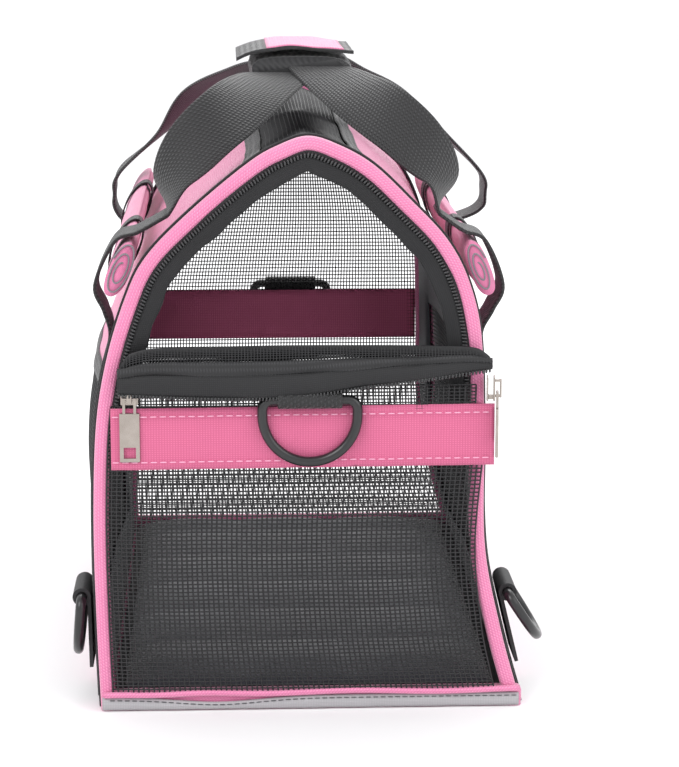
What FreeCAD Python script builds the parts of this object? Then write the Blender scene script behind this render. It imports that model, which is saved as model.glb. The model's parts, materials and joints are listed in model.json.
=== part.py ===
import FreeCAD, Part
import math
import os
from FreeCAD import Vector as V

# Soft-sided pet carrier bag with arched mesh ends, in millimetres.
# +Z is up, the bag's length runs along Y and its open door faces -Y.
# The origin is the middle of the bounding box, on the surface the bag stands on.

# ---- driving dimensions -------------------------------------------------
LENGTH = 460.0            # overall, door furniture to rear ring
DOOR_PROUD = 11.0         # how far the rolled flap stands in front of the door frame
RING_PROUD = 8.0          # how far a ring's webbing loop stands off an end panel
FRONT = -LENGTH / 2 + DOOR_PROUD
REAR = LENGTH / 2 - RING_PROUD

HEM_DEPTH = 10.0          # arch hem along Y
HEM_WIDTH = 9.0           # arch hem across its section
HEM_FOOT = 12.0           # height where the arch hem stands on the base hem
SKIN_IN = 1.5             # the wall's skin lies this far inside the hem's outer line
SKIN = 3.0                # padded wall
LINING = 1.5
MESH = 1.2
WEBBING = 38.0            # webbing width
WEBBING_T = 2.2           # webbing thickness
GAP = 0.3                 # air between parts that move past each other

BAND_LOW, BAND_HIGH = 150.0, 187.0
WALL_TOP = 200.0          # side wall to roof seam
ROOF_MESH_HALF = 34.0     # half width of the mesh along the ridge
WINDOW_HALF = 158.0       # side window, half its length
WINDOW_LOW, WINDOW_HIGH = 30.0, 186.0
BINDING = 11.0            # tape round the side window
BULGE_LEFT, BULGE_RIGHT = 15.08, 17.0
STRAP_Y = 182.0           # side webbing, distance from the middle

# Outer line of the end arches, (x, z), from the left foot over the crown to the
# right foot.  The bag leans a little to its left, as a loaded soft bag does.
ARCH = [(-126, 0), (-128, 60), (-128.5, 120), (-126, 175), (-119, 215), (-108, 250),
        (-96, 274), (-72, 299), (-36, 329), (-17, 340), (0, 345), (18, 339.5), (38, 328),
        (60, 307), (82, 283), (95, 257), (102, 224), (104, 165), (105, 100), (115, 48),
        (128, 0)]
CROWN = 10                # index of the crown in ARCH

RING_BAR = 3.0            # radius of a ring's round bar
RING_HALF = 28.0          # half the ring's width, bar centre to bar centre
RING_DROP = 37.0          # straight bar to the bottom of the bow, centres
RING_CORNER = 6.0
FRONT_RING_Z = 191.0
REAR_RING_Z = 191.0
SIDE_RING_Z = 66.0

ZIP_START = 205.0         # lower end of the fixed zip tape, above the sliders
SLIDER_Z = 188.0          # underside of the parked sliders
SLIDER_LENGTH = 14.0

GRIP = (-78.0, 32.0)      # grip wrap along Y
GRIP_HALF = 33.0
GRIP_LOW, GRIP_HIGH = 364.0, 382.0

SIDES = {"left": -1, "right": 1}


# ---- the arch -----------------------------------------------------------
def spline(points):
    curve = Part.BSplineCurve()
    curve.interpolate(points)
    return curve


def arch_curve():
    return spline([V(x, 0, z) for x, z in ARCH])


def arch_points(inset):
    """The arch's points moved inward by inset, square to the arch."""
    curve = arch_curve()
    moved = []
    for x, z in ARCH:
        u = curve.parameter(V(x, 0, z))
        tangent = curve.tangent(u)[0]
        inward = V(tangent.z, 0, -tangent.x)
        moved.append(V(x, 0, z) + inward * inset)
    return moved


def arch_face(inset):
    """The area under the arch, moved inward and closed by a line well below the bag."""
    points = arch_points(inset)
    low_left = V(points[0].x, 0, -25)
    low_right = V(points[-1].x, 0, -25)
    arch = spline(points).toShape()
    lines = [Part.makeLine(points[-1], low_right), Part.makeLine(low_right, low_left),
             Part.makeLine(low_left, points[0])]
    lines = [line for line in lines if line.Length > 1e-6]
    return Part.Face(Part.Wire([arch] + lines))


def block(x0, x1, y0, y1, z0, z1):
    return Part.makeBox(x1 - x0, y1 - y0, z1 - z0, V(x0, y0, z0))


def rounded_block(x0, x1, y0, y1, z0, z1, radius):
    solid = block(x0, x1, y0, y1, z0, z1)
    return solid.makeFillet(radius, solid.Edges)


def arch_prism(inset, y0, y1):
    prism = arch_face(inset).extrude(V(0, y1 - y0, 0))
    prism.translate(V(0, y0, 0))
    return prism


def arch_ring(outer, inner, y0, y1, foot):
    """A strip of the arch between two insets, cut off flat at height foot."""
    ring = arch_prism(outer, y0, y1).cut(arch_prism(inner, y0 - 1, y1 + 1))
    above = block(-200, 200, y0 - 1, y1 + 1, foot, 400)
    return ring.common(above)


def wall_x(side, z, inset=0.0):
    """X of the arch on one side at height z, moved inward by inset."""
    points = arch_points(inset)
    half = points[CROWN:] if side > 0 else points[CROWN::-1]
    for upper, lower in zip(half, half[1:]):
        if lower.z <= z <= upper.z:
            t = (z - lower.z) / (upper.z - lower.z)
            return lower.x + t * (upper.x - lower.x)
    return half[-1].x


# ---- general helpers ----------------------------------------------------
def facet(*corners):
    return Part.Face(Part.makePolygon(list(corners) + [corners[0]]))


def ribbon(stations):
    """Flat webbing through stations of (centre, direction of its width)."""
    sections = []
    last = len(stations) - 1
    for i, (centre, across) in enumerate(stations):
        before = stations[max(i - 1, 0)][0]
        after = stations[min(i + 1, last)][0]
        along = (after - before).normalize()
        normal = along.cross(across).normalize()
        across = normal.cross(along).normalize()
        half, deep = across * (WEBBING / 2), normal * (WEBBING_T / 2)
        sections.append([centre + half + deep, centre - half + deep,
                         centre - half - deep, centre + half - deep])
    faces = [facet(*sections[0]), facet(*sections[-1][::-1])]
    for low, high in zip(sections, sections[1:]):
        for i, j in ((0, 1), (1, 2)):
            faces.append(facet(low[i], low[j], high[j]))
            faces.append(facet(low[i], high[j], high[i]))
        for i, j in ((2, 3), (3, 0)):
            faces.append(facet(low[i], low[j], high[i]))
            faces.append(facet(low[j], high[j], high[i]))
    solid = Part.Solid(Part.Shell(faces))
    return solid if solid.Volume > 0 else solid.reversed()


def pillow(side, half_length, low, high, bulge, thickness):
    """Thin panel on a side wall that swells outward in its middle."""
    rows = []
    steps_y, steps_z = 8, 6
    for i in range(steps_y + 1):
        y = -half_length + 2 * half_length * i / steps_y
        row = []
        for j in range(steps_z + 1):
            z = low + (high - low) * j / steps_z
            swell = (math.sin(math.pi * i / steps_y) * math.sin(math.pi * j / steps_z)) ** 0.7
            row.append(V(wall_x(side, z, SKIN_IN) + side * (0.2 + bulge * swell), y, z))
        rows.append(row)
    surface = Part.BSplineSurface()
    surface.interpolate(rows)
    return surface.toShape().extrude(V(side * thickness, 0, 0))


def d_ring():
    """Round-bar D ring hanging in the XZ plane, its straight bar on the X axis."""
    r, half, corner = RING_BAR, RING_HALF, RING_CORNER
    bow_z = half - RING_DROP
    slant = math.sqrt(0.5)
    left = V(-half + corner, 0, 0)
    right = V(half - corner, 0, 0)
    elbow = V(half - corner + corner * slant, 0, -corner + corner * slant)
    shoulder = V(half, 0, -corner)
    path = [Part.makeLine(left, right),
            Part.Arc(right, elbow, shoulder).toShape(),
            Part.makeLine(shoulder, V(half, 0, bow_z)),
            Part.Arc(V(half, 0, bow_z), V(0, 0, -RING_DROP), V(-half, 0, bow_z)).toShape(),
            Part.makeLine(V(-half, 0, bow_z), V(-half, 0, -corner)),
            Part.Arc(V(-half, 0, -corner), V(-elbow.x, 0, elbow.z), left).toShape()]
    section = Part.Wire(Part.makeCircle(r, left, V(1, 0, 0)))
    return Part.Wire(path).makePipeShell([section], True, False)


def ring_loop(tail):
    """Webbing folded round a ring's straight bar, with a sewn tail below it."""
    outer = RING_BAR + GAP + WEBBING_T
    loop = Part.makeCylinder(outer, WEBBING, V(-WEBBING / 2, 0, 0), V(1, 0, 0))
    back = block(-WEBBING / 2, WEBBING / 2, outer - WEBBING_T, outer, -tail, 0)
    bore = Part.makeCylinder(RING_BAR + GAP, WEBBING + 2, V(-WEBBING / 2 - 1, 0, 0), V(1, 0, 0))
    return loop.fuse(back).cut(bore).removeSplitter()


def slider_body():
    """Zip slider: two plates, a post at the lower end and a bail on the front."""
    half = 5.2
    front = rounded_block(-half, half, 0, 1.2, 0, SLIDER_LENGTH, 0.5)
    back = rounded_block(-half, half, 4.0, 5.2, 0, SLIDER_LENGTH, 0.5)
    post = block(-1.5, 1.5, 1.0, 4.2, 0.5, 3.0)
    bridge = rounded_block(-1.5, 1.5, -3.8, -2.6, 1.5, 12.5, 0.4)
    feet = [block(-1.5, 1.5, -3.0, 0.3, z, z + 1.2) for z in (1.8, 11.0)]
    return front.multiFuse([back, post, bridge] + feet).removeSplitter()


PULLER_PIN = V(0, -1.3, 4.2)     # where the puller turns in the bail


def puller():
    """Zip puller with a pin behind the bail, two arms and a windowed plate."""
    pin = Part.makeCylinder(0.8, 8.0, V(-4, PULLER_PIN.y, PULLER_PIN.z), V(1, 0, 0))
    arms = [block(x, x + 1.6, PULLER_PIN.y - 0.8, PULLER_PIN.y + 0.8, PULLER_PIN.z - 10,
                  PULLER_PIN.z + 0.4) for x in (-4.0, 2.4)]
    top, bottom = PULLER_PIN.z - 8.5, PULLER_PIN.z - 38.0
    plate = rounded_block(-6, 6, PULLER_PIN.y - 0.9, PULLER_PIN.y + 0.9, bottom, top, 0.6)
    window = block(-3.6, 3.6, -5, 5, bottom + 2.4, bottom + 9.0)
    return pin.multiFuse(arms + [plate]).cut(window).removeSplitter()


# ---- base and floor -----------------------------------------------------
def base_nodes():
    inner_front, inner_rear = FRONT + HEM_DEPTH, REAR - HEM_DEPTH
    return {
        "base_panel": block(-124.5, 126.5, inner_front, inner_rear, 0, 3),
        "base_board": block(-118, 120, inner_front + 4, inner_rear - 4, 3, 6.5),
        "floor_mat": rounded_block(-112, 112, inner_front + 8, inner_rear - 8, 6.5, 19, 4),
        "front_base_hem": block(-126, 128, FRONT, inner_front, 0, HEM_FOOT),
        "rear_base_hem": block(-126, 128, inner_rear, REAR, 0, HEM_FOOT),
        "front_base_piping": Part.makeCylinder(1.7, 250, V(-124, FRONT - 1.7, 11), V(1, 0, 0)),
        "front_reflective_strip": block(-124, 126, FRONT - 1.0, FRONT, 0.8, 9.0),
    }


# ---- arch hems, bones, piping -------------------------------------------
def end_frame_nodes():
    nodes = {}
    for end, y in (("front", FRONT), ("rear", REAR - HEM_DEPTH)):
        hem = arch_ring(0, HEM_WIDTH, y, y + HEM_DEPTH, HEM_FOOT)
        channel = arch_ring(2.5, 6.5, y + 3.5, y + 6.5, HEM_FOOT + 1)
        nodes[end + "_arch_hem"] = hem.cut(channel)
        nodes[end + "_arch_bone"] = arch_ring(3, 6, y + 4, y + 6, HEM_FOOT + 2)
    piping_y = FRONT + HEM_DEPTH
    nodes["front_piping"] = arch_ring(-0.6, SKIN_IN, piping_y - 2, piping_y, HEM_FOOT).cut(
        nodes["front_arch_hem"])
    return nodes


# ---- walls and roof -----------------------------------------------------
def wall_nodes():
    """Side walls, linings, roof and the mesh along the ridge, cut from one arch shell."""
    y0, y1 = FRONT + HEM_DEPTH, REAR - HEM_DEPTH
    skin = arch_ring(SKIN_IN, SKIN_IN + SKIN, y0, y1, 3)
    lining = arch_ring(SKIN_IN + SKIN, SKIN_IN + SKIN + LINING, y0, y1, 20)
    window = block(-300, 300, -WINDOW_HALF, WINDOW_HALF, WINDOW_LOW, WINDOW_HIGH)
    ridge = block(-ROOF_MESH_HALF, ROOF_MESH_HALF, y0, y1, 300, 400)
    nodes = {"roof_mesh": skin.common(ridge)}
    for name, side in SIDES.items():
        x0, x1 = (0, 200) if side > 0 else (-200, 0)
        low = block(x0, x1, y0, y1, 0, WALL_TOP)
        high = block(x0, x1, y0, y1, WALL_TOP, 400)
        nodes["side_wall_" + name] = skin.common(low).cut(window)
        nodes["lining_" + name] = lining.common(low).cut(window)
        nodes["roof_" + name] = skin.common(high).cut(ridge)
        bulge = BULGE_RIGHT if side > 0 else BULGE_LEFT
        nodes["side_mesh_" + name] = pillow(side, WINDOW_HALF, WINDOW_LOW, WINDOW_HIGH,
                                            bulge, MESH)
        nodes["window_binding_" + name] = window_binding(side, y0, y1)
    return nodes


def window_binding(side, y0, y1):
    """Flat tape sewn round the side window, on the wall's outside."""
    tape = arch_ring(SKIN_IN - 1.0, SKIN_IN, y0, y1, WINDOW_LOW - BINDING)
    x0, x1 = (0, 200) if side > 0 else (-200, 0)
    reach = WINDOW_HALF + 4.0
    outside = block(x0, x1, -reach, reach, WINDOW_LOW - BINDING, WINDOW_HIGH + BINDING)
    hole = block(-300, 300, -WINDOW_HALF - 0.5, WINDOW_HALF + 0.5, WINDOW_LOW - 0.5,
                 WINDOW_HIGH + 0.5)
    return tape.common(outside).cut(hole)


# ---- rolled window covers -----------------------------------------------
ROLL_Z = 262.0            # height of a roll's middle on the shoulder
ROLL_WIDE, ROLL_DEEP = 34.0, 12.0


def shoulder_frame(side):
    """Middle point, outward and up-slope directions of the shoulder under a roll."""
    low = V(wall_x(side, ROLL_Z - 14), 0, ROLL_Z - 14)
    high = V(wall_x(side, ROLL_Z + 14), 0, ROLL_Z + 14)
    slope = (high - low).normalize()
    outward = V(slope.z, 0, -slope.x) * side
    return V(wall_x(side, ROLL_Z), 0, ROLL_Z), outward, slope


def stadium(side, lift, wide, deep, y0, y1):
    """Prism along Y with a round-ended section lying on the shoulder."""
    middle, outward, slope = shoulder_frame(side)
    centre = middle + outward * (lift + deep / 2)
    flat, r = slope * (wide / 2 - deep / 2), deep / 2
    a, b = centre + flat + outward * r, centre - flat + outward * r
    c, d = centre - flat - outward * r, centre + flat - outward * r
    edges = [Part.makeLine(a, b), Part.Arc(b, centre - slope * (wide / 2), c).toShape(),
             Part.makeLine(c, d), Part.Arc(d, centre + slope * (wide / 2), a).toShape()]
    prism = Part.Face(Part.Wire(edges)).extrude(V(0, y1 - y0, 0))
    prism.translate(V(0, y0, 0))
    return prism


def cover_nodes():
    nodes = {}
    for name, side in SIDES.items():
        nodes["cover_roll_" + name] = stadium(side, 2.2, ROLL_WIDE, ROLL_DEEP, -206, 200)
        ties = []
        for y in (-110, 90):
            outer = stadium(side, 1.0, ROLL_WIDE + 2.4, ROLL_DEEP + 2.4, y, y + 20)
            inner = stadium(side, 2.0, ROLL_WIDE + 0.4, ROLL_DEEP + 0.4, y - 1, y + 21)
            ties.append(outer.cut(inner))
        nodes["cover_ties_" + name] = Part.makeCompound(ties)
    return nodes


# ---- end panels ---------------------------------------------------------
def panel_outline(low, high, left_inset, right_inset):
    heights = [low, low + (high - low) / 3, low + 2 * (high - low) / 3, high]
    left = [V(wall_x(-1, z, left_inset), 0, z) for z in heights]
    right = [V(wall_x(1, z, right_inset), 0, z) for z in heights]
    corners = left + right[::-1]
    return Part.Face(Part.makePolygon(corners + corners[:1]))


def front_panel_nodes():
    """Lower mesh and its band: they lap over the hem on the bag's right."""
    mesh = panel_outline(HEM_FOOT + 1, BAND_HIGH, HEM_WIDTH + 0.5, 2.0).extrude(V(0, MESH, 0))
    mesh.translate(V(0, FRONT - MESH - 0.1, 0))
    band = panel_outline(BAND_LOW, BAND_HIGH, HEM_WIDTH, -3.0).extrude(V(0, 1.4, 0))
    band.translate(V(0, FRONT - MESH - 1.6, 0))
    tape = arch_ring(12.4, 20.5, FRONT - 0.9, FRONT + 0.1, ZIP_START)
    coil = arch_ring(9.3, 12.3, FRONT - 1.4, FRONT + 0.6, ZIP_START)
    return {"front_mesh": mesh, "front_band": band, "front_zip_tape": tape,
            "front_zip_coil": coil}


def rear_panel_nodes():
    mesh = arch_prism(HEM_WIDTH + 0.2, REAR - 6, REAR - 6 + MESH)
    mesh = mesh.common(block(-200, 200, REAR - 7, REAR, HEM_FOOT, 400))
    band = panel_outline(BAND_LOW, BAND_HIGH, HEM_WIDTH + 0.5, HEM_WIDTH + 0.5)
    band = band.extrude(V(0, 1.4, 0))
    band.translate(V(0, REAR - 6 + MESH + 0.1, 0))
    return {"rear_mesh": mesh, "rear_band": band}


# ---- door flap, rolled down on the band ---------------------------------
FLAP_LEFT, FLAP_RIGHT = -96.0, 92.0
FLAP_LOW, FLAP_HIGH = 198.0, 223.0
FLAP_HINGE = V(0, FRONT - 9.5, 197.5)     # the flap tips outward over the band here


def flap_nodes():
    back = FRONT - 2.0
    roll = rounded_block(FLAP_LEFT, FLAP_RIGHT, FRONT - DOOR_PROUD, back, FLAP_LOW,
                         FLAP_HIGH, 3.5)
    skirt = block(FLAP_LEFT, FLAP_RIGHT, FRONT - MESH, FRONT, BAND_HIGH + 0.2, FLAP_LOW - 1)
    return {"flap_roll": roll, "flap_skirt": skirt}


# ---- rings --------------------------------------------------------------
FRONT_RING_Y = FRONT - MESH - 1.8 - RING_BAR - GAP
REAR_RING_Y = REAR - 6 + MESH + 1.6 + RING_BAR + GAP + WEBBING_T


def side_ring_x(side):
    return wall_x(side, SIDE_RING_Z) + side * (WEBBING_T + RING_BAR + 2 * GAP + 3.4)


RING_LEAN = {"left": 5.0, "right": 33.0}     # side rings, degrees out from hanging
TAB_LEAN = {"left": -1.0, "right": 13.5}      # their tabs, along the wall's slope


def ring_nodes():
    nodes = {}
    front = d_ring()
    front.translate(V(0, FRONT_RING_Y, FRONT_RING_Z))
    nodes["front_d_ring"] = front
    loop = front_loop()
    nodes["front_ring_loop"] = loop
    rear = d_ring()
    rear.translate(V(0, REAR_RING_Y, REAR_RING_Z))
    nodes["rear_d_ring"] = rear
    rear_loop = ring_loop(24)
    rear_loop.rotate(V(0, 0, 0), V(0, 0, 1), 180)
    rear_loop.translate(V(0, REAR_RING_Y, REAR_RING_Z))
    nodes["rear_ring_loop"] = rear_loop
    for name, side in SIDES.items():
        place = V(side_ring_x(side), -STRAP_Y, SIDE_RING_Z)
        ring = d_ring()
        ring.rotate(V(0, 0, 0), V(1, 0, 0), -RING_LEAN[name])
        ring.rotate(V(0, 0, 0), V(0, 0, 1), 90 * side)
        ring.translate(place)
        nodes["side_d_ring_" + name] = ring
        tab = ring_loop(44)
        tab.rotate(V(0, 0, 0), V(1, 0, 0), -TAB_LEAN[name])
        tab.rotate(V(0, 0, 0), V(0, 0, 1), 90 * side)
        tab.translate(place)
        nodes["side_ring_tab_" + name] = tab
    return nodes


def front_loop():
    """Webbing loop over the band's top edge that holds the front ring."""
    outer = RING_BAR + GAP + 1.4
    y, z = FRONT_RING_Y, FRONT_RING_Z
    loop = Part.makeCylinder(outer, WEBBING, V(-WEBBING / 2, y, z), V(1, 0, 0))
    bore = Part.makeCylinder(RING_BAR + GAP, WEBBING + 2, V(-WEBBING / 2 - 1, y, z), V(1, 0, 0))
    behind = block(-WEBBING / 2, WEBBING / 2, FRONT - MESH - 1.7, FRONT + 2, 150, 205)
    return loop.cut(bore).cut(behind)


# ---- zip sliders and pullers --------------------------------------------
def slider_place(side):
    """Position and turn about Z of a slider; the right one is twisted to face outward."""
    if side < 0:
        return V(wall_x(-1, SLIDER_Z + 7) + 16.6, FRONT - 3.0, SLIDER_Z), 0
    return V(109.2, FRONT - 4.8, SLIDER_Z + 2), 84


def zip_nodes():
    nodes = {}
    for name, side in SIDES.items():
        place, turn = slider_place(side)
        for node, solid in (("slider_", slider_body()), ("puller_", puller())):
            solid.rotate(V(0, 0, 0), V(0, 0, 1), turn)
            solid.translate(place)
            nodes[node + name] = solid
    return nodes


# ---- webbing and handles ------------------------------------------------
def strap_stations(side, end, top):
    """Side webbing from the base seam up the wall to height top."""
    y = STRAP_Y * end
    heights = [8, 60, 110, 160, 205, top]
    lift = WEBBING_T / 2 + 0.2
    return [(V(wall_x(side, z) + side * lift, y, z), V(0, 1, 0)) for z in heights]


# The front webbing's way over a cover roll: (up the shoulder, off the shoulder).
ROLL_PASS = [(-27, 7), (-15, 18.2), (13, 18.2), (24, 8)]


def handle_nodes():
    nodes = {}
    for name, side in SIDES.items():
        front = strap_stations(side, -1, 228)
        middle, outward, slope = shoulder_frame(side)
        for along, lift in ROLL_PASS:
            point = middle + slope * along + outward * lift
            front.append((V(point.x, -STRAP_Y, point.z), V(0, 1, 0)))
        top = V(wall_x(side, 292) + side * 3, -STRAP_Y, 296)
        front.append((top, V(0, 1, 0)))
        nodes["side_strap_front_" + name] = ribbon(front)
        nodes["side_strap_rear_" + name] = ribbon(strap_stations(side, 1, 240))
        nodes["handle_" + name] = ribbon(handle_stations(side, top))
    return nodes


def handle_stations(side, start):
    """One carrying handle, from the front shoulder over the grip to the rear wall."""
    s = side
    level, over = (371.0, 0.0) if s < 0 else (374.5, 3.5)   # the right one lies on top
    begin = start + V(-s * 1.2, 0, 3.2)
    return [
        (begin, V(0, 1, 0)),
        (V(s * 76, -179, 322), V(-s * 0.45, 0.85, 0.20)),
        (V(s * 57, -168, 345), V(-s * 0.50, 0.60, 0.55)),
        (V(s * 34, -144, 360), V(-s * 0.40, 0.50, 0.70)),
        (V(s * 22, -108, 368 + over), V(-s * 0.80, 0.10, 0.45)),
        (V(s * 11, GRIP[0], level), V(-s, 0, 0)),
        (V(s * 11, GRIP[1], level), V(-s, 0, 0)),
        (V(s * 31, 66, 364 + over), V(-s * 0.95, 0.30, 0.0)),
        (V(s * 64, 112, 346), V(-s * 0.55, 0.80, -0.1)),
        (V(s * 108, 152, 316), V(-s * 0.20, 0.95, 0)),
        (V(s * 138, 176, 284), V(0, 1, 0)),
        (V(s * 143, 182, 266), V(0, 1, 0)),
        (V(s * 136, 184, 252), V(0, 1, 0)),
        (V(wall_x(side, 241) + s * 3.8, STRAP_Y, 242), V(0, 1, 0)),
    ]


def grip_nodes():
    y0, y1 = GRIP
    tube = rounded_block(-GRIP_HALF, GRIP_HALF, y0, y1, GRIP_LOW, GRIP_HIGH, 3)
    hollow = block(-GRIP_HALF + 1.5, GRIP_HALF - 1.5, y0 - 1, y1 + 1, GRIP_LOW + 1.5,
                   GRIP_HIGH - 1.5)
    flap_low = GRIP_HIGH + GAP
    flap = rounded_block(-GRIP_HALF - 4, GRIP_HALF, y0 + 2, y1 - 2, flap_low, flap_low + 2.6, 1)
    patch = block(-22, GRIP_HALF - 6, y0 + 12, y1 - 12, flap_low + 2.6, flap_low + 3.6)
    return {"grip_wrap": tube.cut(hollow), "grip_flap": flap, "grip_patch": patch}


def build():
    nodes = {}
    for group in (base_nodes, end_frame_nodes, wall_nodes, cover_nodes, front_panel_nodes,
                  rear_panel_nodes, flap_nodes, ring_nodes, zip_nodes, handle_nodes,
                  grip_nodes):
        nodes.update(group())
    return nodes


def main():
    os.makedirs("parts", exist_ok=True)
    box = FreeCAD.BoundBox()
    for name, shape in build().items():
        shape.exportStep("parts/" + name + ".step")
        box.add(shape.BoundBox)
        print(name, len(shape.Solids), shape.isValid(), round(shape.Volume))
    print("box", box)


if __name__ == "__main__":
    main()
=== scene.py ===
import json
import math
import bmesh
import bpy
import numpy as np
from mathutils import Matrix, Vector, noise


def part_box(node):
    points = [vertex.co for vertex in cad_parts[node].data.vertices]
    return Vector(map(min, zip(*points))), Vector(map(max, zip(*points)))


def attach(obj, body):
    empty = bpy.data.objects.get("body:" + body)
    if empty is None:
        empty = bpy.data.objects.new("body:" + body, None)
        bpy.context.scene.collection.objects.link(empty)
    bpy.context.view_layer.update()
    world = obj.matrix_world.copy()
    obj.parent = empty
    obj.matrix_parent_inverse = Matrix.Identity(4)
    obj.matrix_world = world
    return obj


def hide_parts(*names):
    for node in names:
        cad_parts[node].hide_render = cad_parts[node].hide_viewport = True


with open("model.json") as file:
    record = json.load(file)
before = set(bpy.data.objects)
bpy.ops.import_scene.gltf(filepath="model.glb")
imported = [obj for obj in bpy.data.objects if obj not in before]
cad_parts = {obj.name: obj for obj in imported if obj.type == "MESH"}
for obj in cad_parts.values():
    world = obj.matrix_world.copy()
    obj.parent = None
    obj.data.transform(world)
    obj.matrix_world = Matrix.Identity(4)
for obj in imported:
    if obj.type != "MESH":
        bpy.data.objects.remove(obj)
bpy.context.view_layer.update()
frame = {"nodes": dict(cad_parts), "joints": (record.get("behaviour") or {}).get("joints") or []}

# Looks of a soft-sided pet carrier bag, in metres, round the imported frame.
# The bag's length runs along Y and its open door faces -Y.

MM = 0.001
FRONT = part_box("front_arch_hem")[0].y
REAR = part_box("rear_arch_hem")[1].y
HEM_DEPTH = 0.010         # arch hem along Y
HEM = 0.009               # arch hem across its section
BAND_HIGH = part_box("front_band")[1].z
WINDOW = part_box("side_mesh_left")
WINDOW_HALF = WINDOW[1].y
WINDOW_LOW, WINDOW_HIGH = WINDOW[0].z, WINDOW[1].z
STRAP_Y = 0.182           # side webbing, distance from the middle
BULGE = 0.0155            # most that a loaded side stands outside the arch
BULGE_HALF = 0.166        # half the bulge's length
BULGE_LOW, BULGE_HIGH = 0.008, 0.232
ROOF_FOOT = 0.235         # the roof sags above this height
ROOF_SAG = 0.0035
CREASE = 0.0022           # most that a soft crease moves the cloth

SKIN_INSET = 0.0015       # how far each layer lies inside the arch's outer line
LINING_INSET = 0.0052
NET_INSET = 0.0032
TAPE_INSET = 0.0009
SKIN_THICK = 0.0016
TAPE_THICK = 0.0008
WALL_STEP = 0.007         # spacing of the wall's rows
TAPE_WIDE = 0.0115        # binding round a side window

HEM_PUCKER = 0.0008
PIPING_RADIUS = 0.0011
BASE_PIPING_RADIUS = 0.0019
BASE_ROUND = 0.0012       # rounding of the flat base pieces
QUILT_CHANNEL = 0.07      # spacing of the floor mat's sewn channels
MAT_EDGE = 0.003          # the mat's thickness at its edge
STRIP_PINCH_X, STRIP_PINCH = -0.055, 0.0035   # where the reflective strip narrows

FRONT_NET_FOOT = 0.0115
FRONT_NET_BELLY = 0.0055
FRONT_NET_RIPPLE = 0.0018
# How far the front net's right edge stays inside the arch, by height.
TUCK_HEIGHTS, TUCKS = (0.0, 0.045, 0.09, 0.15), (0.015, 0.0125, 0.0075, 0.002)

ARCH_ZIP_FOOT = 0.189     # lower end of the zip fixed round the door
COIL_INSET = 0.0108
ZIP_TAPE_INSET, ZIP_TAPE_WIDE = 0.0122, 0.0088
FLANGE_INSET, FLANGE_WIDE = 0.0078, 0.0050
TOOTH_PITCH = 0.00205
TOOTH_TURN = 0.18
BAND_STITCH = 0.0056
WEBBING_WIDE, WEBBING_THICK = 0.038, 0.0022

ROLL_Z = 0.262            # middle of a rolled window cover on the shoulder
ROLL_LIFT = 0.0086        # its middle above the roof cloth
ROLL_WIDE, ROLL_DEEP = 0.0175, 0.0066
ROLL_ENDS = (-0.2065, 0.200)
ROLL_TIES = (-0.100, 0.100)
# Where a front strap passes over a roll: (along the slope, above the cloth).
ROLL_PASS = [(-0.027, 0.007), (-0.015, 0.0182), (0.013, 0.0182), (0.024, 0.008)]

# The end arch's outer line (x, z), from the left foot over the crown to the right foot.
ARCH = [(-126, 0), (-128, 60), (-128.5, 120), (-126, 175), (-119, 215), (-108, 250),
        (-96, 274), (-72, 299), (-36, 329), (-17, 340), (0, 345), (18, 339.5), (38, 328),
        (60, 307), (82, 283), (95, 257), (102, 224), (104, 165), (105, 100), (115, 48),
        (128, 0)]


# ---- curves -------------------------------------------------------------
def smooth(points, steps=8):
    """Catmull-Rom line through points, as an array."""
    p = np.array(points, float)
    p = np.vstack([2 * p[0] - p[1], p, 2 * p[-1] - p[-2]])
    rows = []
    for i in range(1, len(p) - 2):
        for t in np.linspace(0, 1, steps, endpoint=False):
            a, b, c, d = p[i - 1:i + 3]
            rows.append(0.5 * (2 * b + (c - a) * t + (2 * a - 5 * b + 4 * c - d) * t ** 2
                               + (3 * b - a - 3 * c + d) * t ** 3))
    rows.append(p[-2])
    return np.array(rows)


def lengths(line):
    return np.concatenate([[0], np.cumsum(np.linalg.norm(np.diff(line, axis=0), axis=1))])


def resample(line, count):
    s = lengths(line)
    at = np.linspace(0, s[-1], count)
    return np.stack([np.interp(at, s, line[:, k]) for k in range(line.shape[1])], 1)


ARCH_LINE = resample(smooth(np.array(ARCH) * MM, 12), 400)
ARCH_TANGENT = np.gradient(ARCH_LINE, axis=0)
ARCH_TANGENT /= np.linalg.norm(ARCH_TANGENT, axis=1)[:, None]
ARCH_IN = np.stack([ARCH_TANGENT[:, 1], -ARCH_TANGENT[:, 0]], 1)
TOP = int(np.argmax(ARCH_LINE[:, 1]))


def arch(share, inset=0.0):
    """Point (x, z) on the arch, share 0 at the left foot and 1 at the right, moved inward."""
    at = share * (len(ARCH_LINE) - 1)
    index = np.arange(len(ARCH_LINE))
    line = ARCH_LINE + ARCH_IN * inset
    return np.array([np.interp(at, index, line[:, 0]), np.interp(at, index, line[:, 1])])


def share_at(side, z):
    """The arch's share at height z on one side."""
    half = ARCH_LINE[:TOP + 1, 1] if side < 0 else ARCH_LINE[TOP:, 1][::-1]
    at = float(np.interp(z, half, np.arange(len(half))))
    return (at if side < 0 else len(ARCH_LINE) - 1 - at) / (len(ARCH_LINE) - 1)


def wall_x(side, z, inset=0.0):
    return float(arch(share_at(side, z), inset)[0])


def swell(y, z):
    """How far the loaded side stands outside the plain arch."""
    if abs(y) >= BULGE_HALF or not BULGE_LOW < z < BULGE_HIGH:
        return 0.0
    along = (1 - (y / BULGE_HALF) ** 2) ** 0.8
    rise = (z - BULGE_LOW) / (BULGE_HIGH - BULGE_LOW)
    return BULGE * along * math.sin(math.pi * rise) ** 0.8


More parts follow.
